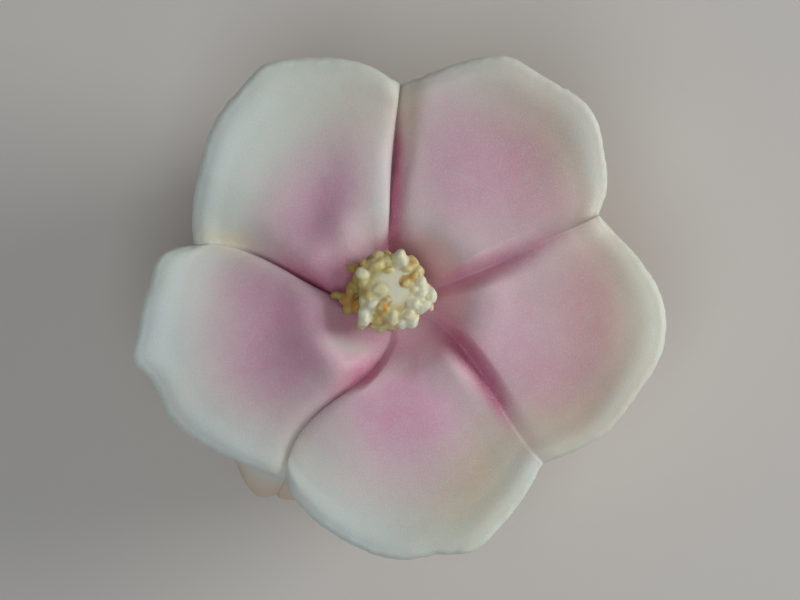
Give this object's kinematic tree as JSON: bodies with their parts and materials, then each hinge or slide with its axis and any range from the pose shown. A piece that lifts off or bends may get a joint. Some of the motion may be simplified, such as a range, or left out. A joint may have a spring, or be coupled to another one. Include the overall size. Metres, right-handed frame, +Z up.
{
  "type": "namagashi",
  "caption": "Bean-paste tea sweet shaped as an open flower: soft overlapping thumbed petals, pressed grooves and a cluster of sieved yellow crumbs in its heart.",
  "frame": {"origin": "centre of the flower's box on the surface that it stands on", "axes": "+Z up out of the flower's heart, +X to the right of the picture, +Y to its top"},
  "size_m": [0.0538, 0.0506, 0.0276],
  "materials": {
    "dough": "soft matt bean-paste dough, ivory blushed with pink",
    "crumbs": "matt pale yellow sieved crumbs"
  },
  "bodies": {
    "root": {"flower": "dough", "stamens": "crumbs"}
  },
  "joints": []
}
